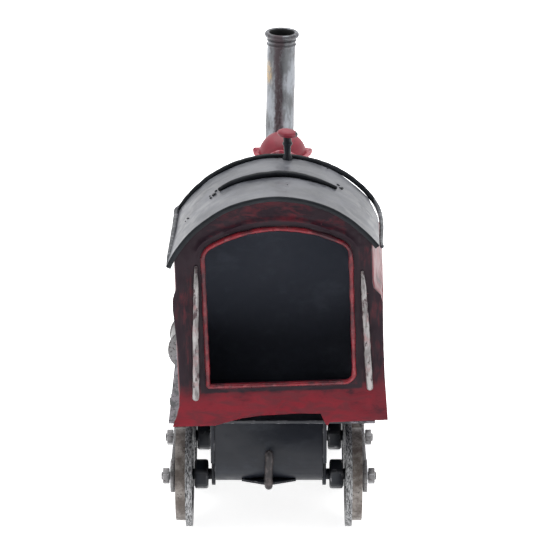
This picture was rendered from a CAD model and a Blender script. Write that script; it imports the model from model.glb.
"""The looks of the toy train locomotive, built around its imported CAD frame.

+Y is the engine's front, +X its right side and +Z up. Sizes are in millimetres until MM
turns them into metres.
"""

import math

import bmesh
import bpy
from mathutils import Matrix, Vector, noise


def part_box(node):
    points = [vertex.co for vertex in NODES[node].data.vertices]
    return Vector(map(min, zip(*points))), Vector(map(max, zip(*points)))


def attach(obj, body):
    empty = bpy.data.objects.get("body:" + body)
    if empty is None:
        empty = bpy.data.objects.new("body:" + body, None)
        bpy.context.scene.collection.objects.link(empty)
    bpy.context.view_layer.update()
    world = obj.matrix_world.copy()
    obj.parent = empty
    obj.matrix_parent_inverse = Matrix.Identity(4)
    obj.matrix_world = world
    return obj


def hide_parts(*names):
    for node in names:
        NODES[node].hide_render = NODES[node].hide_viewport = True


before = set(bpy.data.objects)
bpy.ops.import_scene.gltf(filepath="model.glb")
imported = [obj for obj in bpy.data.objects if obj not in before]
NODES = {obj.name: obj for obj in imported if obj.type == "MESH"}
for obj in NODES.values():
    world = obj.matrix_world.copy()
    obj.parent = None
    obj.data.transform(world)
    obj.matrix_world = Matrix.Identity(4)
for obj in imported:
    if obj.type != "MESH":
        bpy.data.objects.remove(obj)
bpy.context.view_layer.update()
MM = 0.001


def node_box(name):
    """The lowest and highest corners of a CAD node, in millimetres."""
    low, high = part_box(name)
    return low / MM, high / MM


# ---------- places, read from the frame ----------

WALL_LOW, WALL_HIGH = node_box("cab_rear_wall")
ROOF_LOW, ROOF_HIGH = node_box("roof")
_, BOARD_HIGH = node_box("running_board")
RIB_LOW, RIB_HIGH = node_box("roof_rib")
DOME_LOW, DOME_HIGH = node_box("steam_dome")
BRIM_LOW, _ = node_box("dome_brim")
CHIMNEY_LOW, CHIMNEY_HIGH = node_box("chimney")
POST_LOW, POST_HIGH = node_box("whistle_post")
CAP_LOW, _ = node_box("whistle_cap")
BOILER_LOW, BOILER_HIGH = node_box("boiler")
_, SMOKEBOX_HIGH = node_box("smokebox")
RAIL_LOW, _ = node_box("handrail_left")
WHEEL_LOW, _ = node_box("wheel_rear_right")

# The cab leans about its foot on the running board, and the roof is turned further at the rear
CAB_LEAN = math.radians(2.0)
ROOF_LEAN_REAR = math.radians(4.7)
ROOF_LEAN_FRONT = math.radians(1.4)
CHIMNEY_LEAN = math.radians(1.3)
BODY_SHIFT = (BOILER_LOW.x + BOILER_HIGH.x) / 2
BOARD_Z = BOARD_HIGH.z
CAB_LEN = 47.0
CAMERA_PLACE = (0.0042, -1.1038, 0.4137)
LOOK_DOWN_DEGREES = 17.14
WINDOW_Y = (14.0, 34.0)
WINDOW_Z = (69.0, 93.0)
ARCH_Z = 89.3
ROOF_R = 45.3
ROOF_T = 1.1
WALL_R = 44.1
WALL_BACK = WALL_LOW.y
WALL_FRONT = WALL_HIGH.y
DOOR_X = 26.2
DOOR_LOW = 63.2
DOOR_TOP = 121.2
DOOR_ARCH_R = 50.0
DOOR_CORNER_R = 5.0
DOOR_SILL_R = 3.0
FLANGE_T = 2.4
TREAD_X = WHEEL_LOW.x + FLANGE_T


def in_cab(u, y, z):
    """The place of a point given in the leaning cab's own frame."""
    rise = z - BOARD_Z
    return Vector((BODY_SHIFT + u * math.cos(CAB_LEAN) - rise * math.sin(CAB_LEAN), y,
                   BOARD_Z + u * math.sin(CAB_LEAN) + rise * math.cos(CAB_LEAN)))


def on_arch(radius, angle, y):
    """A point of the roof's arch. The angle is from upright, positive to the right."""
    return in_cab(0, y, ARCH_Z) + Vector((radius * math.sin(angle), 0, radius * math.cos(angle)))


def soft_step(value, low, high):
    """0 below low, 1 above high, and smooth between."""
    t = min(max((value - low) / (high - low), 0.0), 1.0)
    return t * t * (3 - 2 * t)


# ---------- materials ----------

class Look:
    """One material: a Principled shader, and procedural nodes that feed it."""

    def __init__(self, name, roughness=0.5, metallic=0.0, **sockets):
        self.material = bpy.data.materials.new(name)
        self.material.use_nodes = True
        self.tree = self.material.node_tree
        self.shader = self.tree.nodes["Principled BSDF"]
        self.shader.inputs["Roughness"].default_value = roughness
        self.shader.inputs["Metallic"].default_value = metallic
        for socket, value in sockets.items():
            self.shader.inputs[socket.replace("_", " ")].default_value = value
        self.place = self.tree.nodes.new("ShaderNodeTexCoord").outputs["Object"]

    def add(self, kind, inputs, **settings):
        """A new node, with its inputs linked or set."""
        node = self.tree.nodes.new("ShaderNode" + kind)
        for key, value in settings.items():
            setattr(node, key, value)
        for key, value in inputs.items():
            if isinstance(value, bpy.types.NodeSocket):
                self.tree.links.new(value, node.inputs[key])
            else:
                node.inputs[key].default_value = value
        return node

    def set(self, socket, value):
        self.tree.links.new(value, self.shader.inputs[socket])

    def scaled(self, size, stretch=(1, 1, 1), shift=0.0):
        """The place on the object, in units of size millimetres, stretched along each axis."""
        scale = [1 / (MM * size * s) for s in stretch]
        return self.add("Mapping", {"Vector": self.place, "Scale": scale,
                                    "Location": (shift, shift * 1.7, shift * 0.6)}).outputs[0]

    def noise(self, size, stretch=(1, 1, 1), detail=4.0, rough=0.55, twist=0.0, shift=0.0):
        place = self.scaled(size, stretch, shift)
        return self.add("TexNoise", {"Vector": place, "Scale": 1.0, "Detail": detail,
                                     "Roughness": rough, "Distortion": twist}).outputs[0]

    def sum(self, operation, a, b=0.0, c=None):
        inputs = {0: a, 1: b}
        if c is not None:
            inputs[2] = c
        return self.add("Math", inputs, operation=operation).outputs[0]

    def between(self, value, low, high, start=0.0, end=1.0):
        """A smooth step: start at low, end at high, and level outside."""
        return self.add("MapRange", {0: value, 1: low, 2: high, 3: start, 4: end},
                        interpolation_type="SMOOTHSTEP").outputs[0]

    def axes(self):
        """X, Y and Z of the place on the object, in millimetres."""
        place = self.add("VectorMath", {0: self.place, 3: 1 / MM}, operation="SCALE").outputs[0]
        return self.add("SeparateXYZ", {0: place}).outputs

    def cab_axes(self):
        """Across, along and up in the leaning cab's frame, in millimetres."""
        x, y, z = self.axes()
        aside = self.sum("SUBTRACT", x, BODY_SHIFT)
        rise = self.sum("SUBTRACT", z, BOARD_Z)
        across = self.sum("ADD", self.sum("MULTIPLY", aside, math.cos(CAB_LEAN)),
                          self.sum("MULTIPLY", rise, math.sin(CAB_LEAN)))
        up = self.sum("SUBTRACT", self.sum("MULTIPLY", rise, math.cos(CAB_LEAN)),
                      self.sum("MULTIPLY", aside, math.sin(CAB_LEAN)))
        return across, y, self.sum("ADD", up, BOARD_Z)

    def blend(self, factor, a, b):
        node = self.tree.nodes.new("ShaderNodeMix")
        node.data_type = "RGBA"
        for index, value in ((0, factor), (6, a), (7, b)):
            if isinstance(value, bpy.types.NodeSocket):
                self.tree.links.new(value, node.inputs[index])
            elif index:
                node.inputs[index].default_value = (*value, 1)
            else:
                node.inputs[index].default_value = value
        return node.outputs[2]

    def bump(self, height, depth, strength=1.0, below=None):
        """A bump of depth millimetres, over an earlier bump if there is one."""
        inputs = {"Height": height, "Distance": depth * MM, "Strength": strength}
        if below is not None:
            inputs["Normal"] = below
        return self.add("Bump", inputs).outputs[0]


RED = (0.19, 0.0065, 0.0165)
DEEP_RED = (0.11, 0.007, 0.015)
WASH = (0.017, 0.007, 0.013)
DOME_RED = (0.27, 0.022, 0.042)
BLACK = (0.011, 0.013, 0.019)
DUSTY_BLACK = (0.023, 0.027, 0.036)
STAIN = (0.070, 0.052, 0.060)


def door_distance(look, x, z):
    """Millimetres outside the doorway's edge, for a point on the rear wall."""
    aside = look.sum("SUBTRACT", look.sum("ABSOLUTE", x), DOOR_X)
    below = look.sum("SUBTRACT", DOOR_LOW, z)
    rise = look.sum("SUBTRACT", z, DOOR_TOP - DOOR_ARCH_R)
    square = look.sum("ADD", look.sum("POWER", x, 2.0), look.sum("POWER", rise, 2.0))
    above = look.sum("SUBTRACT", look.sum("SQRT", square), DOOR_ARCH_R)
    return look.sum("MAXIMUM", look.sum("MAXIMUM", aside, below), above)


def paint_finish(look, strokes, speckle, base_rough, spread):
    """Roughness that follows the brush strokes, and the relief of strokes, dust and dents."""
    look.set("Roughness", look.between(strokes, 0.3, 0.7, base_rough - spread, base_rough + spread))
    dents = look.bump(look.noise(16, detail=1.5, shift=3.1), 0.5, 0.35)
    brushed = look.bump(strokes, 0.12, 0.5, dents)
    look.set("Normal", look.bump(speckle, 0.05, 0.5, brushed))


def wall_red():
    """Red paint under a dark wash that gathers at the sides, the eaves and round the doorway."""
    look = Look("wall_red", Specular_IOR_Level=0.18)
    x, y, z = look.cab_axes()
    across = look.noise(2.6, (2.6, 1, 0.9), detail=7, rough=0.62, twist=0.6)
    upright = look.noise(2.0, (0.8, 1, 3.6), detail=7, rough=0.62, twist=0.4, shift=5.0)
    side = look.between(look.sum("ABSOLUTE", x), DOOR_X - 2, DOOR_X + 1)
    above_sill = look.between(z, DOOR_LOW - 5, DOOR_LOW + 3)
    standing = look.sum("MULTIPLY", side, above_sill)
    strokes = look.add("MapRange", {0: standing, 3: across, 4: upright}).outputs[0]
    patches = look.noise(9, (1, 1, 1.5), detail=5, rough=0.6, shift=4.0)
    speckle = look.noise(0.55, detail=3, shift=9.0)
    grime = look.sum("MULTIPLY", standing, 0.22)
    low = look.between(z, DOOR_LOW - 9, DOOR_LOW - 1, -0.17, 0.0)
    corner = look.sum("MULTIPLY", look.between(x, 18, 34), look.between(z, 62, 50))
    door = door_distance(look, x, z)
    groove = look.between(look.sum("ABSOLUTE", look.sum("SUBTRACT", door, 2.7)), 0.2, 1.3, 0.22, 0.0)
    eaves = look.between(z, DOOR_TOP - 14, DOOR_TOP - 2, 0.0, 0.17)
    level = look.sum("ADD", look.sum("MULTIPLY", patches, 0.55), look.sum("MULTIPLY", strokes, 0.85))
    for part in (grime, low, groove, eaves, look.sum("MULTIPLY", corner, 0.16)):
        level = look.sum("ADD", level, part)
    washed = look.between(level, 0.56, 0.94)
    red = look.blend(look.between(strokes, 0.38, 0.62), DEEP_RED, RED)
    colour = look.blend(washed, red, WASH)
    chips = look.between(look.noise(1.1, (1.6, 1, 1), detail=5, shift=17.0), 0.74, 0.77)
    colour = look.blend(chips, colour, (0.45, 0.13, 0.16))
    inside = look.between(y, WALL_BACK + 0.5, WALL_BACK + 0.7)
    look.set("Base Color", look.blend(inside, colour, BLACK))
    paint_finish(look, strokes, speckle, 0.42, 0.13)
    return look.material


def body_red(name="body_red", rough=0.36):
    """Red paint, with a wash in its hollows."""
    look = Look(name, Specular_IOR_Level=0.35)
    strokes = look.noise(2.8, (1, 1, 3.0), detail=7, rough=0.6, twist=0.5, shift=2.0)
    patches = look.noise(12, detail=5, rough=0.6, shift=6.0)
    level = look.sum("ADD", look.sum("MULTIPLY", patches, 0.75), look.sum("MULTIPLY", strokes, 0.45))
    washed = look.between(level, 0.52, 0.84)
    red = look.blend(look.between(strokes, 0.38, 0.62), DEEP_RED, RED)
    look.set("Base Color", look.blend(washed, red, WASH))
    paint_finish(look, strokes, look.noise(0.55, detail=3), rough, 0.1)
    return look.material


def bead_red():
    """Brighter red on the bead round the doorway, worn pink on its crest."""
    look = Look("bead_red", Specular_IOR_Level=0.4)
    _, y, _ = look.axes()
    patches = look.noise(5, detail=5, rough=0.6, shift=1.0)
    fine = look.noise(0.9, detail=4, shift=5.0)
    red = look.blend(look.between(patches, 0.35, 0.6), (0.06, 0.006, 0.012), (0.21, 0.009, 0.018))
    crest = look.between(y, WALL_BACK - 1.2, WALL_BACK - 0.8, 1.0, 0.0)
    rubbed = look.between(look.noise(2.2, detail=5, shift=14.0), 0.52, 0.66, 0.0, 0.45)
    red = look.blend(look.sum("MULTIPLY", crest, rubbed), red, (0.36, 0.08, 0.095))
    broad = look.noise(13, detail=3, shift=3.5)
    dark = look.between(look.sum("ADD", broad, look.sum("MULTIPLY", fine, 0.25)), 0.58, 0.82, 0.0, 0.9)
    look.set("Base Color", look.blend(dark, red, WASH))
    paint_finish(look, look.noise(2, detail=4, shift=8.0), fine, 0.36, 0.1)
    return look.material


def dome_red():
    """Satin red of the dome and whistle, with dark scuffs."""
    look = Look("dome_red", Specular_IOR_Level=0.5)
    patches = look.noise(7, detail=4, shift=2.5)
    fine = look.noise(0.7, detail=4, shift=5.0)
    red = look.blend(look.between(patches, 0.35, 0.65), (0.20, 0.014, 0.028), DOME_RED)
    scuffs = look.between(look.noise(1.6, (1, 1, 0.6), detail=6, shift=12.0), 0.63, 0.72)
    look.set("Base Color", look.blend(scuffs, red, (0.10, 0.02, 0.03)))
    paint_finish(look, patches, fine, 0.44, 0.06)
    return look.material


def black_paint(name, base=BLACK, dusty=DUSTY_BLACK, rough=0.4, dust=0.62, gloss=0.28):
    """Black paint with dust lying in broad patches and strokes."""
    look = Look(name, Specular_IOR_Level=gloss)
    strokes = look.noise(3.5, (1.6, 1.6, 1), detail=6, rough=0.58, twist=0.4, shift=1.5)
    patches = look.noise(14, detail=5, shift=7.0)
    speckle = look.noise(0.5, detail=3, shift=3.0)
    dusted = look.between(look.sum("ADD", look.sum("MULTIPLY", patches, 0.6),
                                   look.sum("MULTIPLY", strokes, 0.5)), dust - 0.12, dust + 0.12)
    colour = look.blend(dusted, base, dusty)
    look.set("Base Color", colour)
    paint_finish(look, strokes, speckle, rough, 0.1)
    return look.material


def board_grey():
    """Black paint worn to a lavender grey along the running board's two sides."""
    look = Look("board_grey", Specular_IOR_Level=0.5)
    x, _, _ = look.axes()
    strokes = look.noise(3.0, (1, 3.0, 1), detail=6, rough=0.6, shift=1.5)
    side = look.between(look.sum("ABSOLUTE", x), 29, 32)
    worn = look.sum("MULTIPLY", side, look.between(strokes, 0.36, 0.58))
    pits = look.between(look.noise(0.9, detail=5, shift=6.0), 0.56, 0.64)
    grey = look.blend(pits, (0.24, 0.225, 0.255), (0.04, 0.035, 0.045))
    look.set("Base Color", look.blend(worn, BLACK, grey))
    paint_finish(look, strokes, look.noise(0.5, detail=3), 0.42, 0.1)
    return look.material


def chimney_steel():
    """Bare steel, mottled and streaked, with a dark run down its rear and a rusty stain on its left."""
    look = Look("chimney_steel", metallic=0.75)
    x, y, z = look.axes()
    centre = (CHIMNEY_LOW.x + CHIMNEY_HIGH.x) / 2
    rear_of = (CHIMNEY_LOW.y + CHIMNEY_HIGH.y) / 2
    streaks = look.noise(1.3, (1, 1, 7), detail=7, rough=0.65, twist=0.3)
    mottle = look.noise(1.1, (1, 1, 1.8), detail=6, rough=0.7, shift=2.0)
    blotches = look.noise(5, (1, 1, 2.2), detail=6, rough=0.65, shift=7.0)
    off = look.sum("ABSOLUTE", look.sum("SUBTRACT", x, centre - 0.3))
    middle = look.between(off, 0.5, 2.7, 0.24, 0.0)
    rear = look.between(y, rear_of - 1, rear_of - 4, 0.0, 1.0)
    mouth = look.between(z, CHIMNEY_HIGH.z - 16, CHIMNEY_HIGH.z - 2, 0.0, 0.09)
    level = look.sum("ADD", look.sum("MULTIPLY", streaks, 0.5), look.sum("MULTIPLY", mottle, 0.5))
    level = look.sum("ADD", level, look.sum("MULTIPLY", middle, rear))
    level = look.sum("ADD", level, mouth)
    stained = look.between(level, 0.52, 0.76)
    steel = look.blend(look.between(blotches, 0.38, 0.62), (0.12, 0.125, 0.132), (0.27, 0.285, 0.31))
    left = look.between(x, centre - 2.2, centre - 4.0)
    spot = look.between(look.sum("ABSOLUTE", look.sum("SUBTRACT", z, CHIMNEY_HIGH.z - 17)), 2, 6, 1.0, 0.0)
    rusty = look.sum("MULTIPLY", look.sum("MULTIPLY", left, spot), look.between(mottle, 0.35, 0.6))
    steel = look.blend(rusty, steel, (0.42, 0.30, 0.16))
    look.set("Base Color", look.blend(stained, steel, STAIN))
    look.set("Roughness", look.between(level, 0.45, 0.85, 0.36, 0.62))
    look.set("Metallic", look.between(stained, 0.2, 1.0, 0.8, 0.35))
    relief = look.bump(blotches, 0.25, 0.5)
    look.set("Normal", look.bump(look.noise(0.7, (1, 1, 2), detail=4), 0.08, 0.6, relief))
    return look.material


def worn_silver():
    """Scraped silver of the handrails, pitted, with traces of the red beside it."""
    look = Look("worn_silver", metallic=0.55)
    scrapes = look.noise(1.4, (1, 1, 4), detail=6, rough=0.65)
    pits = look.between(look.noise(1.7, (1, 1, 2.2), detail=6, rough=0.62, shift=6.0), 0.53, 0.62)
    pink = look.between(look.noise(4, detail=3, shift=9.0), 0.5, 0.66, 0.0, 0.5)
    silver = look.blend(look.between(scrapes, 0.35, 0.65), (0.15, 0.14, 0.142), (0.40, 0.385, 0.385))
    silver = look.blend(pink, silver, (0.30, 0.13, 0.14))
    look.set("Base Color", look.blend(pits, silver, (0.07, 0.045, 0.05)))
    look.set("Roughness", look.between(scrapes, 0.3, 0.7, 0.34, 0.56))
    look.set("Normal", look.bump(look.noise(0.8, (1, 1, 2), detail=4), 0.12, 0.7))
    return look.material


def nut_steel():
    """Dull grey steel with dark patches."""
    look = Look("nut_steel", metallic=0.85)
    patches = look.noise(1.5, detail=5, rough=0.6)
    dark = look.between(look.noise(0.8, detail=5, shift=3.0), 0.52, 0.68)
    steel = look.blend(patches, (0.10, 0.098, 0.10), (0.30, 0.295, 0.30))
    look.set("Base Color", look.blend(dark, steel, (0.07, 0.06, 0.06)))
    look.set("Roughness", look.between(patches, 0.3, 0.7, 0.36, 0.6))
    look.set("Normal", look.bump(look.noise(0.35, detail=3), 0.05, 0.7))
    return look.material


def wheel_metal():
    """Rusty brown treads and spokes, and a flange flecked silver and black."""
    look = Look("wheel_metal", metallic=0.5)
    x, _, _ = look.axes()
    flange = look.between(look.sum("ABSOLUTE", x), TREAD_X - 0.05, TREAD_X + 0.15, 1.0, 0.0)
    broad = look.noise(5, detail=5, rough=0.6)
    fine = look.noise(0.9, detail=6, rough=0.7, shift=4.0)
    brown = look.blend(look.between(broad, 0.38, 0.62), (0.10, 0.083, 0.073), (0.25, 0.228, 0.212))
    brown = look.blend(look.between(fine, 0.57, 0.66), brown, (0.05, 0.042, 0.04))
    flecks = look.between(look.noise(0.6, (0.6, 2.6, 2.6), detail=7, rough=0.72, shift=8.0), 0.42, 0.60)
    speckled = look.blend(flecks, (0.035, 0.035, 0.038), (0.42, 0.425, 0.435))
    look.set("Base Color", look.blend(flange, brown, speckled))
    look.set("Roughness", look.between(fine, 0.35, 0.65, 0.36, 0.62))
    relief = look.bump(broad, 0.2, 0.5)
    look.set("Normal", look.bump(fine, 0.15, 0.8, relief))
    return look.material


def worn_edge(name, paint, bare, amount):
    """Paint rubbed thin along a bevelled edge."""
    look = Look(name, metallic=0.2)
    rubbed = look.noise(3.0, detail=6, rough=0.65, shift=11.0)
    factor = look.between(rubbed, 0.62 - amount, 0.78 - amount)
    look.set("Base Color", look.blend(factor, paint, bare))
    look.set("Roughness", look.between(rubbed, 0.3, 0.7, 0.48, 0.34))
    look.set("Normal", look.bump(look.noise(0.6, detail=3), 0.08, 0.6))
    return look.material


MATERIALS = {
    "wall_red": wall_red(),
    "body_red": body_red(),
    "corner_red": body_red("corner_red", 0.44),
    "bead_red": bead_red(),
    "dome_red": dome_red(),
    "brim_pink": worn_edge("brim_pink", (0.42, 0.06, 0.09), (0.62, 0.27, 0.30), 0.16),
    "black": black_paint("black"),
    "roof_black": black_paint("roof_black", (0.075, 0.079, 0.092), (0.15, 0.155, 0.175), 0.38, 0.56, 0.6),
    "hem_black": black_paint("hem_black", (0.008, 0.010, 0.013), (0.018, 0.021, 0.027), 0.5, gloss=0.2),
    "rim_grey": worn_edge("rim_grey", (0.035, 0.038, 0.046), (0.17, 0.175, 0.19), 0.12),
    "inside_black": black_paint("inside_black", (0.045, 0.051, 0.070), (0.065, 0.073, 0.096),
                                0.6, 0.66, 0.15),
    "board_grey": board_grey(),
    "chimney_steel": chimney_steel(),
    "bore_dark": black_paint("bore_dark", (0.010, 0.011, 0.012), (0.020, 0.021, 0.022), 0.7),
    "worn_silver": worn_silver(),
    "nut_steel": nut_steel(),
    "wheel_metal": wheel_metal(),
    "red_edge": worn_edge("red_edge", (0.24, 0.01, 0.02), (0.50, 0.20, 0.21), 0.14),
    "black_edge": worn_edge("black_edge", (0.022, 0.024, 0.030), (0.20, 0.20, 0.215), 0.10),
    "steel_edge": worn_edge("steel_edge", (0.16, 0.16, 0.165), (0.46, 0.465, 0.48), 0.2),
    "rust_wire": worn_edge("rust_wire", (0.016, 0.013, 0.015), (0.065, 0.052, 0.052), 0.14),
}


# ---------- mesh helpers ----------

def grown(name, mesh, look, slot, *replaced, second=None, closed=True):
    """Turns a bmesh in millimetres into a smooth piece of the engine's body.

    second is another look and a test of a face's middle that says which faces take it.
    """
    if closed:
        bmesh.ops.recalc_face_normals(mesh, faces=mesh.faces)
    if second:
        for face in mesh.faces:
            face.material_index = int(second[1](face.calc_center_median()))
    bmesh.ops.scale(mesh, vec=(MM, MM, MM), verts=mesh.verts)
    data = bpy.data.meshes.new(name)
    mesh.to_mesh(data)
    mesh.free()
    data.shade_smooth()
    data.set_sharp_from_angle(angle=math.radians(48))
    piece = bpy.data.objects.new(name, data)
    bpy.context.scene.collection.objects.link(piece)
    data.materials.append(MATERIALS[look])
    if second:
        data.materials.append(MATERIALS[second[0]])
    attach(piece, "chassis")
    if replaced:
        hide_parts(*replaced)
    return piece


def skin(mesh, rings, caps=True, loop=False):
    """Joins closed rings of as many vertices each into a skin, and closes its two ends."""
    count = len(rings[0])
    pairs = list(zip(rings, rings[1:]))
    if loop:
        pairs.append((rings[-1], rings[0]))
    for a, b in pairs:
        for i in range(count):
            j = (i + 1) % count
            mesh.faces.new((a[i], a[j], b[j], b[i]))
    if caps and not loop:
        mesh.faces.new(rings[0])
        mesh.faces.new(rings[-1])


def wander(point, size, shift=0.0):
    """A smooth value from -1 to 1 that changes over size millimetres."""
    return noise.noise(Vector(point) / size + Vector((shift, shift, shift)))


def curve_through(points, steps):
    """Catmull-Rom points through the given ones."""
    points = [Vector(p) for p in points]
    ends = [2 * points[0] - points[1], *points, 2 * points[-1] - points[-2]]
    path = []
    for a, b, c, d in zip(ends, ends[1:], ends[2:], ends[3:]):
        for i in range(steps):
            t = i / steps
            path.append(0.5 * (2 * b + (c - a) * t + (2 * a - 5 * b + 4 * c - d) * t * t
                               + (3 * b - a - 3 * c + d) * t ** 3))
    return path + [points[-1]]


def round_ring(mesh, centre, side, up, radius, flat, sides, uneven, shift):
    """A ring of vertices round a bar. flat is its size along side over its size along up."""
    made = []
    for k in range(sides):
        angle = 2 * math.pi * k / sides
        out = side * math.cos(angle) * flat + up * math.sin(angle)
        point = centre + out * radius
        made.append(mesh.verts.new(point + out * radius * uneven * wander(point, 2.5, shift)))
    return made


def rod(mesh, points, radius, steps=6, sides=20, uneven=0.08, shift=0.0, flat=1.0, across=(0, 1, 0)):
    """A handmade bar along a smooth path, with rounded ends. radius may be a function of 0 to 1."""
    path = curve_through(points, steps)
    size = radius if callable(radius) else lambda t: radius
    side = Vector(across)
    rings = []
    last = len(path) - 1
    for i, p in enumerate(path):
        along = (path[min(i + 1, last)] - path[max(i - 1, 0)]).normalized()
        side = (side - along * side.dot(along)).normalized()
        up = along.cross(side)
        r = size(i / last)
        if i == 0:
            bows = [(-along, share) for share in (0.15, 0.5, 0.8, 0.95)]
        elif i == last:
            bows = [(along, share) for share in (0.95, 0.8, 0.5, 0.15)]
        else:
            bows = [(along * 0, 1.0)]
        for outward, share in bows:
            centre = p + outward * r * math.sqrt(max(1 - share * share, 0.0))
            rings.append(round_ring(mesh, centre, side, up, r * share, flat, sides, uneven, shift))
    skin(mesh, rings)
    return mesh


def turned(mesh, profile, centre, sides=96, uneven=0.0, size=6.0, tilt=(0.0, 0.0)):
    """A shape turned about a vertical line. profile is (radius, height) from one end to the other."""
    rings = []
    for r, z in profile:
        made = []
        for k in range(sides):
            angle = 2 * math.pi * k / sides
            x, y = r * math.cos(angle), r * math.sin(angle)
            point = Vector((x, y, z + tilt[0] * x + tilt[1] * y)) + Vector(centre)
            out = Vector((math.cos(angle), math.sin(angle), 0))
            made.append(mesh.verts.new(point + out * uneven * wander(point, size)))
        rings.append(made)
    skin(mesh, rings)
    return mesh


def blob(mesh, centre, size, flatness=0.5, up=(0, 0, 1), shift=0.0):
    """A small uneven drop of solder."""
    made = bmesh.ops.create_icosphere(mesh, subdivisions=3, radius=1.0)["verts"]
    up = Vector(up).normalized()
    for v in made:
        out = v.co.normalized()
        r = size * (1 + 0.35 * wander(out * 2, 1.0, shift))
        p = out * r
        v.co = Vector(centre) + p - up * p.dot(up) * (1 - flatness)
    return mesh


# ---------- CAD nodes that keep their shape ----------

EDGE_OF = {"body_red": "red_edge", "black": "black_edge", "inside_black": "black_edge",
           "board_grey": "black_edge", "nut_steel": "steel_edge", "wheel_metal": "steel_edge"}


def look_of(name):
    """The look that a CAD node takes."""
    if name.startswith("wheel_"):
        return "wheel_metal"
    if name.startswith(("crank_", "boiler_bands", "door_latch", "cylinder_", "side_rod")):
        return "nut_steel"
    if name in ("front_beam", "cab_side_left", "cab_side_right"):
        return "body_red"
    if name == "cab_front_wall":
        return "inside_black"
    if name == "running_board":
        return "board_grey"
    return "black"


def dress(name, width=0.18):
    """Gives a CAD node rounded, rubbed edges and its paint."""
    piece = NODES[name]
    look = look_of(name)
    piece.data.materials.clear()
    piece.data.materials.append(MATERIALS[look])
    piece.data.materials.append(MATERIALS[EDGE_OF[look]])
    weld = piece.modifiers.new("weld", "WELD")
    weld.merge_threshold = 0.000002
    bevel = piece.modifiers.new("edges", "BEVEL")
    bevel.width = width * MM
    bevel.segments = 2
    bevel.limit_method = "ANGLE"
    bevel.angle_limit = math.radians(34)
    bevel.material = 1
    bevel.harden_normals = True
    bevel.use_clamp_overlap = True
    piece.data.shade_smooth()


for node_name in NODES:
    dress(node_name, 0.9 if node_name.startswith("collars_") else 0.18)


# ---------- roof ----------

def roof_edges(y):
    """The angles of the roof's left and right edges at a place along it."""
    along = (y - ROOF_LOW.y) / (ROOF_HIGH.y - ROOF_LOW.y)
    lean = ROOF_LEAN_REAR + (ROOF_LEAN_FRONT - ROOF_LEAN_REAR) * along
    left, right = math.radians(60.5), math.radians(58.2)
    clipped = math.radians(6.5) * soft_step(y, ROOF_HIGH.y - 15, ROOF_HIGH.y)
    return -left - lean, right - lean - clipped


def roof_stations():
    """Places along the roof, with its outer and inner radius there. Both ends are turned in."""
    rear, front = ROOF_LOW.y, ROOF_HIGH.y
    hem = ROOF_R - 1.9
    ends = [(0.0, ROOF_R - 0.55, hem + 0.35), (0.25, ROOF_R - 0.12, hem + 0.05), (0.6, ROOF_R, hem),
            (1.0, ROOF_R, hem + 0.1), (1.35, ROOF_R, ROOF_R - ROOF_T)]
    count = 22
    middle = [(rear + 1.6 + (front - rear - 3.2) * k / count, ROOF_R, ROOF_R - ROOF_T)
              for k in range(count + 1)]
    return ([(rear + d, outer, inner) for d, outer, inner in ends] + middle
            + [(front - d, outer, inner) for d, outer, inner in reversed(ends)])


def roof():
    """A rolled sheet, dented a little, turned further to the left at the rear than in front."""
    mesh = bmesh.new()
    stations = roof_stations()
    columns = 120
    rings = []
    for k in range(columns + 1):
        outer, inner = [], []
        for y, outer_r, inner_r in stations:
            low, high = roof_edges(y)
            angle = low + (high - low) * k / columns
            dent = 0.28 * wander((angle * ROOF_R, y, 0), 13) + 0.06 * wander((angle * ROOF_R, y, 5), 3.5)
            dent -= 0.6 * soft_step(y, ROOF_HIGH.y - 24, ROOF_HIGH.y)
            outer.append(mesh.verts.new(on_arch(outer_r + dent, angle, y)))
            inner.append(mesh.verts.new(on_arch(inner_r + dent, angle, y)))
        rings.append(outer + inner[::-1])
    skin(mesh, rings, caps=False)
    last = len(stations)
    for side in (rings[0], rings[-1]):
        for i in range(last - 1):
            mesh.faces.new((side[i], side[i + 1], side[-2 - i], side[-1 - i]))
    hem_end = ROOF_LOW.y + 0.75
    grown("roof_sheet", mesh, "roof_black", "black_paint", "roof",
          second=("hem_black", lambda p: p.y < hem_end or p.y > ROOF_HIGH.y - 0.3))


def roof_rib():
    """A bar soldered across the roof, thinner and flattened at its ends."""
    mesh = bmesh.new()
    y = (RIB_LOW.y + RIB_HIGH.y) / 2
    left, right = math.radians(-28.5), math.radians(27.2)
    points = [on_arch(ROOF_R + 0.62 + 0.35 * math.sin(math.pi * k / 14), left + (right - left) * k / 14,
                      y + 0.4 * math.sin(k))
              for k in range(15)]
    rod(mesh, points, lambda t: 0.72 + 0.42 * math.sin(math.pi * min(t * 1.12, 1.0)) ** 0.7,
        steps=8, uneven=0.14, flat=1.1)
    grown("roof_rib_bar", mesh, "hem_black", "black_paint", "roof_rib")


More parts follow.
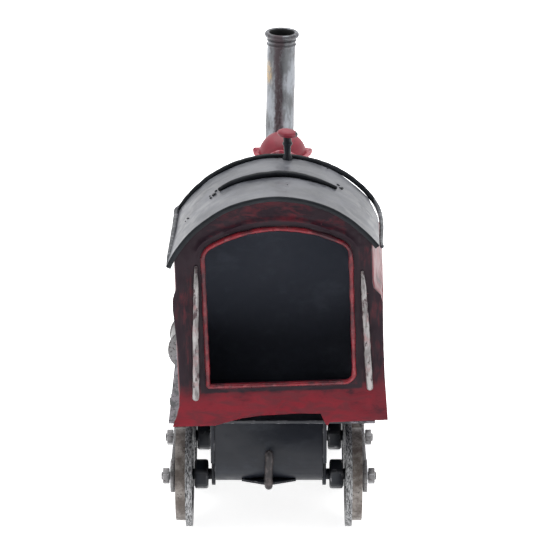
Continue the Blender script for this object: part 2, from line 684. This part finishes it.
def roof_rim():
    """The wire over the front edge, whose ends run back along both sides and stand off on the right."""
    mesh = bmesh.new()
    front = ROOF_HIGH.y + 0.95
    arch = [on_arch(ROOF_R - 0.3 + 0.5 * soft_step(a, 10, 40), math.radians(a), front)
            for a in range(-56, 48, 6)]
    left = [(-36.2, -96.0, 108.6), (-36.2, -93.4, 109.8), (-36.1, -90, 111.0), (-35.7, -80, 112.2),
            (-35.5, -72, 112.7), (-35.3, -55, 113.0), (-35.3, -43.5, 112.9), (-35.1, -39.4, 113.6)]
    right = [(39.6, front - 0.4, 117.2), (41.2, front - 2.4, 115.0), (42.0, -44.5, 113.6), (42.3, -52, 113.2),
             (42.2, -62, 113.0), (41.6, -75, 112.9), (41.3, -84, 113.4), (41.4, -90.5, 114.0)]
    rod(mesh, left + arch + right, lambda t: 0.78 + 0.30 * math.sin(math.pi * min(1.1 * t, 1)) ** 0.6,
        steps=5, uneven=0.12)
    grown("roof_rim", mesh, "hem_black", "black_paint", "roof_rim_wire",
          second=("rim_grey", lambda p: p.x > 40.0 or p.x < -34.6))


def solder():
    """Drops of solder where the rib and the rim wire meet the roof."""
    mesh = bmesh.new()
    drops = [(-31.8, -69.6, 0.85), (-33.6, -71.4, 0.5), (-30.9, -66.0, 0.6), (-34.2, -68.0, 0.35),
             (29.2, -60.2, 0.6), (30.6, -63.0, 0.8), (31.6, -60.8, 0.4), (-48.2, -72.6, 0.32),
             (-47.2, -74.4, 0.28), (-49.6, -73.6, 0.22), (24.0, -43.0, 0.4), (21.0, -42.0, 0.3),
             (4.0, -80.5, 0.25)]
    for k, (angle, y, size) in enumerate(drops):
        turn = math.radians(angle)
        up = (math.sin(turn), 0, math.cos(turn))
        blob(mesh, on_arch(ROOF_R + 0.1, turn, y), size, 0.55, up, shift=k)
    grown("roof_solder", mesh, "hem_black", "black_paint")


# ---------- rear wall ----------

def door_gap(u, z):
    """Millimetres outside the doorway's edge, in the cab's frame. Three corners are round."""
    arch_z = DOOR_TOP - DOOR_ARCH_R
    corner_x = DOOR_X - DOOR_CORNER_R
    corner_z = arch_z + math.sqrt((DOOR_ARCH_R - DOOR_CORNER_R) ** 2 - corner_x ** 2)
    past = abs(u) * (corner_z - arch_z) > corner_x * (z - arch_z)
    if abs(u) > corner_x and z > corner_z and past:
        return math.hypot(abs(u) - corner_x, z - corner_z) - DOOR_CORNER_R
    if u > DOOR_X - DOOR_SILL_R and z < DOOR_LOW + DOOR_SILL_R:
        return math.hypot(u - DOOR_X + DOOR_SILL_R, z - DOOR_LOW - DOOR_SILL_R) - DOOR_SILL_R
    return max(abs(u) - DOOR_X, DOOR_LOW - z, math.hypot(u, z - arch_z) - DOOR_ARCH_R)


DOOR_MIDDLE_Z = 90.0


def out_to(direction, gap):
    """The distance from the doorway's middle, in a direction, to the line gap outside its edge."""
    near, far = 10.0, 60.0
    for _ in range(40):
        middle = (near + far) / 2
        if door_gap(direction.x * middle, DOOR_MIDDLE_Z + direction.y * middle) < gap:
            near = middle
        else:
            far = middle
    return near


def wall_outline():
    """The rear wall's edge in the cab's frame: up the left, over the arch, down, and along the foot."""
    left = [(-40.8, 46.9), (-39.4, 50.2), (-38.1, 54.5), (-37.5, 62), (-37.7, 78), (-38.7, 92),
            (-38.6, 96), (-37.9, 98.4), (-37.2, 100)]
    low, high = -math.asin(37.2 / WALL_R), math.asin(34.7 / WALL_R)
    arch = [(WALL_R * math.sin(low + (high - low) * k / 60),
             ARCH_Z + WALL_R * math.cos(low + (high - low) * k / 60))
            for k in range(61)]
    right = [(34.6, 100.5), (35.0, 98.2), (36.2, 96.8), (37.5, 95.4), (38.1, 92.6), (38.0, 80), (38.2, 64),
             (38.7, 52), (38.9, 46.9)]
    foot = [(17.4, 46.7), (16.6, 45.4), (16.0, 45.7), (14.1, 50.2), (5, 50.6), (-8, 50.2), (-15, 49.4),
            (-22, 47.6), (-25, 46.8)]
    return [Vector((u, z)) for u, z in left + arch + right + foot]


def finely(points, step):
    """A closed outline with more points on its straight stretches."""
    made = []
    for a, b in zip(points, points[1:] + points[:1]):
        parts = max(1, math.ceil((b - a).length / step))
        made += [a + (b - a) * k / parts for k in range(parts)]
    return made


def wall_relief(u, z):
    """How far the wall's rear face stands out: a pressed line over the doorway, dents and strokes."""
    gap = door_gap(u, z)
    high = soft_step(z, 106, 116)
    ridge = 0.55 * math.exp(-((gap - 3.7) / 0.75) ** 2) * high
    groove = -0.2 * math.exp(-((gap - 2.3) / 0.6) ** 2)
    scars = (0.22 * soft_step(wander((u * 1.6, z, 3), 1.6), 0.15, 0.5)
             * math.exp(-((gap - 6.2) / 1.3) ** 2) * high)
    return ridge + groove + scars + 0.3 * wander((u, z, 0), 9) + 0.07 * wander((u, z, 7), 2.2)


def rear_wall():
    """The rear wall, with a wavy sheet-metal face round the doorway."""
    mesh = bmesh.new()
    middle = Vector((0, DOOR_MIDDLE_Z))
    shares = [0.0, 0.015, 0.05, 0.11, 0.18, 0.26, 0.34, 0.42, 0.5, 0.58, 0.66, 0.74, 0.82, 0.89, 0.95, 0.985, 1.0]
    front = [[] for _ in shares]
    back = [[], []]
    for edge in finely(wall_outline(), 0.9):
        ray = edge - middle
        inner = middle + ray.normalized() * out_to(ray.normalized(), 0.0)
        for ring, share in zip(front, shares):
            p = inner + (edge - inner) * share
            rounding = 0.22 if share in (0.0, 1.0) else 0.0
            ring.append(mesh.verts.new(in_cab(p.x, WALL_BACK + rounding - wall_relief(p.x, p.y), p.y)))
        for ring, p in zip(back, (edge, inner)):
            ring.append(mesh.verts.new(in_cab(p.x, WALL_FRONT, p.y)))
    skin(mesh, front + back, loop=True)
    grown("rear_wall", mesh, "wall_red", "red_paint", "cab_rear_wall")


def doorway_bead():
    """An uneven bead of metal round the doorway's edge."""
    mesh = bmesh.new()
    count = 320
    path = []
    for k in range(count):
        angle = 2 * math.pi * k / count
        ray = Vector((math.sin(angle), math.cos(angle)))
        reach = out_to(ray, 0.75)
        path.append(in_cab(ray.x * reach, WALL_BACK - 0.15, DOOR_MIDDLE_Z + ray.y * reach))
    rings = []
    for k, p in enumerate(path):
        along = (path[(k + 1) % count] - path[k - 1]).normalized()
        out = along.cross(Vector((0, 1, 0))).normalized()
        width = 0.86 + 0.22 * wander(p, 5, 2.0) + 0.1 * wander(p, 1.5, 6.0)
        made = []
        for j in range(16):
            turn = 2 * math.pi * j / 16
            made.append(mesh.verts.new(p + out * width * math.cos(turn)
                                       + Vector((0, 1.05, 0)) * math.sin(turn)))
        rings.append(made)
    skin(mesh, rings, loop=True)
    grown("doorway_edge", mesh, "bead_red", "red_paint", "doorway_bead")


def handrail(name, low, high, thick, shift):
    """A flattened rail soldered to the rear wall, thinner at its top. low and high are (u, z)."""
    mesh = bmesh.new()
    y = RAIL_LOW.y + 1.25
    count = 9
    points = []
    for k in range(count):
        t = k / (count - 1)
        u = low[0] + (high[0] - low[0]) * t + 0.22 * wander((0, 0, 8 * t), 2.5, shift)
        z = low[1] + (high[1] - low[1]) * t
        sunk = 1.0 * soft_step(t, 0.86, 1.0)
        points.append(in_cab(u, y + sunk, z))
    rod(mesh, points, lambda t: thick * (1 - 0.34 * t ** 2 - 0.25 * soft_step(t, 0.85, 1.0)),
        steps=10, uneven=0.12, shift=shift, flat=0.72)
    grown(name + "_bar", mesh, "worn_silver", "bare_steel", name)


def side_reach(side, y, z):
    """A side sheet's distance from the cab's middle. Both spread a little towards the front."""
    along = (y - WALL_FRONT) / CAB_LEN
    high = soft_step(z, 93, 99)
    if side > 0:
        rear, front = 37.9 - 3.1 * high, 38.5 + 1.2 * soft_step(z, 50, 84)
    else:
        rear, front = 38.0 - 0.6 * high, 38.2 + 0.8 * soft_step(z, 50, 84)
    return rear + (front - rear) * along ** 0.85 + 0.22 * wander((side * 40, y, z), 10, 4.0)


def cab_side(name, side):
    """A side sheet with a window, folded at each upright edge and in under the roof."""
    mesh = bmesh.new()
    turn = [(0.2, 3.0), (0.12, 1.6), (0.3, 0.6), (0.9, 0.12), (1.8, 0.0)]
    plain = [3, 5, 7, 9, 11.5, WINDOW_Y[0], 17, 20, 24, 28, 31, WINDOW_Y[1], 36.5, 39, 41, 43]
    columns = turn + [(d, 0.0) for d in plain] + [(CAB_LEN - d, inset) for d, inset in reversed(turn)]
    levels = [0, 0.1, 0.2, 0.35, 0.5, 0.65, 0.8, 0.9, 1]
    grid = []
    for d, inset in columns:
        y = WALL_FRONT + min(max(d, 0.0), CAB_LEN)
        column = []
        heights = [(BOARD_Z, WINDOW_Z[0]), WINDOW_Z, (WINDOW_Z[1], None)]
        for low, high in heights:
            for level in levels[(0 if low == BOARD_Z else 1):]:
                u = side_reach(side, y, low + 10) - inset
                if low == BOARD_Z:
                    low_z = BOARD_Z - side * u * math.tan(CAB_LEAN) + 0.05
                    z = low_z + (high - low_z) * level
                elif high is None:
                    top = ARCH_Z + math.sqrt((WALL_R - 0.3) ** 2 - side_reach(side, y, 108) ** 2)
                    z = low + (top - low) * level
                else:
                    z = low + (high - low) * level
                u = side_reach(side, y, z) - inset
                column.append(mesh.verts.new(in_cab(side * u, y, z)))
        steps, radius, fold_end = 4, WALL_R - 0.3, math.radians(46)
        fold_start = math.asin(side_reach(side, y, 108) / radius)
        for k in range(1, steps + 1):
            angle = fold_start + (fold_end - fold_start) * k / steps
            u = radius * math.sin(angle) - inset * (1 - k / steps)
            column.append(mesh.verts.new(in_cab(side * u, y, ARCH_Z + radius * math.cos(angle))))
        grid.append(column)
    per = len(levels) - 1
    for i, (a, b) in enumerate(zip(grid, grid[1:])):
        middle = (columns[i][0] + columns[i + 1][0]) / 2
        for j in range(len(a) - 1):
            in_window = WINDOW_Y[0] < middle < WINDOW_Y[1] and per <= j < 2 * per
            if not in_window:
                corners = (a[j], b[j], b[j + 1], a[j + 1])
                mesh.faces.new(corners if side > 0 else corners[::-1])
    piece = grown(name + "_sheet", mesh, "corner_red", "red_paint", name, closed=False)
    piece.data.materials.append(MATERIALS["inside_black"])
    thick = piece.modifiers.new("thickness", "SOLIDIFY")
    thick.thickness = 0.9 * MM
    thick.offset = -1.0
    thick.material_offset = 1
    rim = piece.modifiers.new("rim", "BEVEL")
    rim.width = 0.15 * MM
    rim.segments = 2
    rim.limit_method = "ANGLE"
    rim.angle_limit = math.radians(50)


def rear_hook():
    """A rusty wire under the drawbar tab, bent up at its end."""
    mesh = bmesh.new()
    low, high = node_box("rear_hook")
    x = (low.x + high.x) / 2
    r = (high.x - low.x) / 2
    rod(mesh, [(x, high.y, low.z + r), (x, low.y + 5, low.z + r), (x, low.y + 3.2, low.z + r + 0.2),
               (x - 0.1, low.y + 1.6, low.z + r + 1.7), (x - 0.1, low.y + r + 0.1, low.z + 5),
               (x + 0.1, low.y + r, low.z + 10), (x + 0.2, low.y + r + 0.2, high.z - r)],
        r * 0.97, steps=6, uneven=0.14)
    grown("rear_hook_wire", mesh, "rust_wire", "black_paint", "rear_hook")


# ---------- whistle, dome and chimney ----------

def hump(angle, middle, half):
    """1 at the middle angle, falling smoothly to 0 at half an angle each side."""
    away = abs((angle - middle + math.pi) % (2 * math.pi) - math.pi)
    return 0.5 + 0.5 * math.cos(math.pi * away / half) if away < half else 0.0


def whistle():
    """A beaded black post with a red mushroom button, tilted a little."""
    centre = Vector(((POST_LOW.x + POST_HIGH.x) / 2, (POST_LOW.y + POST_HIGH.y) / 2, ROOF_HIGH.z))
    post = bmesh.new()
    turned(post, [(2.0, -1.6), (1.9, 0.0), (1.6, 0.5), (1.4, 1.0), (1.3, 1.8), (1.4, 4.4), (1.75, 4.9),
                  (1.95, 5.4), (1.8, 5.9), (1.5, 6.2), (1.62, 8.8)], centre, 48, 0.14, 1.6)
    grown("whistle_stem", post, "black", "black_paint", "whistle_post")
    cap = bmesh.new()
    top = Vector((centre.x, centre.y, CAP_LOW.z))
    turned(cap, [(0.4, -0.35), (2.2, -0.35), (3.3, -0.1), (3.75, 0.35), (3.9, 0.9), (3.75, 1.45), (3.2, 2.0),
                 (2.2, 2.45), (1.1, 2.7), (0.3, 2.78)], top, 72, 0.22, 3.0, tilt=(-0.10, -0.02))
    grown("whistle_button", cap, "dome_red", "dome_red_paint", "whistle_cap",
          second=("rim_grey", lambda p: p.x > top.x + 3.0))


def steam_dome():
    """A ball on a neck, with a saucer round its middle whose rim turns up."""
    centre_z = DOME_HIGH.z - 9.9
    x, y = (DOME_LOW.x + DOME_HIGH.x) / 2, (DOME_LOW.y + DOME_HIGH.y) / 2
    foot_z = BOILER_HIGH.z
    ball_r = 9.85
    profile = [(10.4, foot_z - 2.4), (10.5, foot_z + 0.6), (9.9, foot_z + 1.2), (8.7, foot_z + 1.8),
               (8.2, foot_z + 3.0), (8.1, centre_z - 6.2)]
    profile += [(ball_r * math.cos(math.radians(a)), centre_z + ball_r * math.sin(math.radians(a)))
                for a in range(-32, 90, 4)]
    ball = bmesh.new()
    turned(ball, profile + [(0.2, centre_z + ball_r)], (x, y, 0), 112, 0.3, 8.0)
    grown("dome_ball", ball, "dome_red", "dome_red_paint", "steam_dome")
    brim = bmesh.new()
    section = [(9.4, 0.0), (10.6, 0.05), (11.5, 0.2), (11.9, 0.45), (11.95, 0.8), (11.7, 1.1), (11.1, 1.15),
               (10.2, 1.15), (9.4, 1.15)]
    rings = []
    for k in range(144):
        angle = 2 * math.pi * k / 144
        curl = (4.3 * hump(angle, -math.pi / 2, 0.95) + 1.1 * hump(angle, 0.1, 0.9)
                + 1.4 * hump(angle, math.pi - 0.1, 0.9) + 0.3 * wander((angle * 2.2, 1, 0), 0.8))
        made = []
        for r, z in section:
            lift = soft_step(r, 10.3, 11.9) * curl
            point = Vector((x + r * math.cos(angle), y + r * math.sin(angle), BRIM_LOW.z + z + lift))
            made.append(brim.verts.new(point))
        rings.append(made)
    skin(brim, rings, loop=True)
    grown("dome_saucer", brim, "brim_pink", "dome_red_paint", "dome_brim")


def chimney():
    """A tube with a rolled lip, two fine rings and a flared foot, a little out of round."""
    mesh = bmesh.new()
    base = Vector((BODY_SHIFT - 1.5, (CHIMNEY_LOW.y + CHIMNEY_HIGH.y) / 2, SMOKEBOX_HIGH.z))
    lip_tilt = 0.07
    top = CHIMNEY_HIGH.z - base.z - 0.8
    tube_r, bore_r, lip_r = 5.75, 4.9, 1.08
    profile = [(9.4, -3.2), (9.6, 0.2), (9.2, 0.9), (7.4, 1.2), (6.3, 2.4), (tube_r, 4.6)]
    profile += [(tube_r, 4.6 + (top - 10.6) * k / 14) for k in range(1, 15)]
    for drop in (5.0, 3.3):
        profile += [(tube_r, top - drop - 0.5), (tube_r + 0.34, top - drop - 0.15),
                    (tube_r + 0.34, top - drop + 0.15), (tube_r, top - drop + 0.5)]
    lip_x, lip_z = 5.97, top - lip_r
    profile += [(lip_x + lip_r * math.cos(math.radians(a)), lip_z + lip_r * math.sin(math.radians(a)))
                for a in range(-70, 171, 20)]
    profile += [(bore_r, lip_z - 0.6), (bore_r, lip_z - 8), (bore_r, lip_z - 24), (bore_r, lip_z - 48),
                (0.3, lip_z - 48.5)]
    rings = []
    sides = 96
    for r, h in profile:
        made = []
        for k in range(sides):
            angle = 2 * math.pi * k / sides
            swell = 0.22 * wander((3 * math.cos(angle), 3 * math.sin(angle), h), 7, 3.0)
            x, y = (r + swell) * math.cos(angle), (r + swell) * math.sin(angle)
            up = h + lip_tilt * y * soft_step(h, top - 16, top - 2)
            leaning_x = x * math.cos(CHIMNEY_LEAN) + up * math.sin(CHIMNEY_LEAN)
            leaning_z = up * math.cos(CHIMNEY_LEAN) - x * math.sin(CHIMNEY_LEAN)
            made.append(mesh.verts.new(base + Vector((leaning_x, y, leaning_z))))
        rings.append(made)
    skin(mesh, rings)

    def in_bore(p):
        axis_x = base.x + (p.z - base.z) * math.sin(CHIMNEY_LEAN)
        return math.hypot(p.x - axis_x, p.y - base.y) < bore_r + 0.35

    grown("chimney_tube", mesh, "chimney_steel", "bare_steel", "chimney", second=("bore_dark", in_bore))


roof()
roof_rib()
roof_rim()
solder()
rear_wall()
doorway_bead()
handrail("handrail_left", (-31.6, 58.6), (-29.5, 108.5), 1.22, 1.0)
handrail("handrail_right", (32.5, 60.6), (31.0, 104.6), 1.28, 5.0)
cab_side("cab_side_left", -1)
cab_side("cab_side_right", 1)
rear_hook()
whistle()
steam_dome()
chimney()


# ---------- camera, lights and floor ----------

def photo_camera():
    """A long lens behind the engine, a little above it, looking level along its length and down."""
    data = bpy.data.cameras.new("camera")
    data.sensor_width = 36.0
    data.lens = 186.4
    data.clip_end = 20.0
    camera = bpy.data.objects.new("camera", data)
    camera.location = CAMERA_PLACE
    camera.rotation_euler = (math.radians(90 - LOOK_DOWN_DEGREES), 0.0, 0.0)
    bpy.context.scene.collection.objects.link(camera)
    bpy.context.scene.camera = camera


def soft_light(name, place, target, width, height, watts):
    """A rectangular area light at a place, turned to a target."""
    data = bpy.data.lights.new(name, "AREA")
    data.shape = "RECTANGLE"
    data.size = width
    data.size_y = height
    data.energy = watts
    lamp = bpy.data.objects.new(name, data)
    lamp.location = place
    lamp.rotation_euler = (Vector(target) - Vector(place)).to_track_quat("-Z", "Y").to_euler()
    bpy.context.scene.collection.objects.link(lamp)


def light_tent():
    """A white surround, dimmer behind the camera than in front of it."""
    world = bpy.data.worlds.new("tent")
    world.use_nodes = True
    tree = world.node_tree
    background = tree.nodes["Background"]
    place = tree.nodes.new("ShaderNodeTexCoord").outputs["Generated"]
    split = tree.nodes.new("ShaderNodeSeparateXYZ")
    tree.links.new(place, split.inputs[0])
    step = tree.nodes.new("ShaderNodeMapRange")
    step.inputs[1].default_value = -0.7
    step.inputs[2].default_value = 0.5
    step.inputs[3].default_value = 0.2
    step.inputs[4].default_value = 1.0
    tree.links.new(split.outputs[1], step.inputs[0])
    tree.links.new(step.outputs[0], background.inputs["Strength"])
    background.inputs["Color"].default_value = (1.0, 1.0, 1.0, 1.0)
    bpy.context.scene.world = world


def floor():
    """A pale floor, bright enough of itself to leave only a faint shadow."""
    mesh = bmesh.new()
    bmesh.ops.create_grid(mesh, x_segments=8, y_segments=8, size=3.0)
    data = bpy.data.meshes.new("floor")
    mesh.to_mesh(data)
    mesh.free()
    piece = bpy.data.objects.new("floor", data)
    bpy.context.scene.collection.objects.link(piece)
    look = Look("floor_white", roughness=0.75, Specular_IOR_Level=0.2)
    tone = look.noise(300, detail=2)
    look.set("Base Color", look.blend(tone, (0.93, 0.93, 0.935), (0.95, 0.95, 0.955)))
    look.shader.inputs["Emission Color"].default_value = (1.0, 1.0, 1.0, 1.0)
    look.shader.inputs["Emission Strength"].default_value = 0.85
    data.materials.append(look.material)


photo_camera()
light_tent()
floor()
soft_light("overhead", (0.0, 0.15, 1.3), (0.0, 0.0, 0.08), 1.4, 1.4, 14.0)
soft_light("left", (-1.1, -0.5, 0.7), (0.0, 0.0, 0.08), 0.7, 0.9, 1.6)
soft_light("right", (1.1, -0.6, 0.6), (0.0, 0.0, 0.08), 0.7, 0.9, 1.6)
bpy.context.scene.view_settings.view_transform = "Standard"
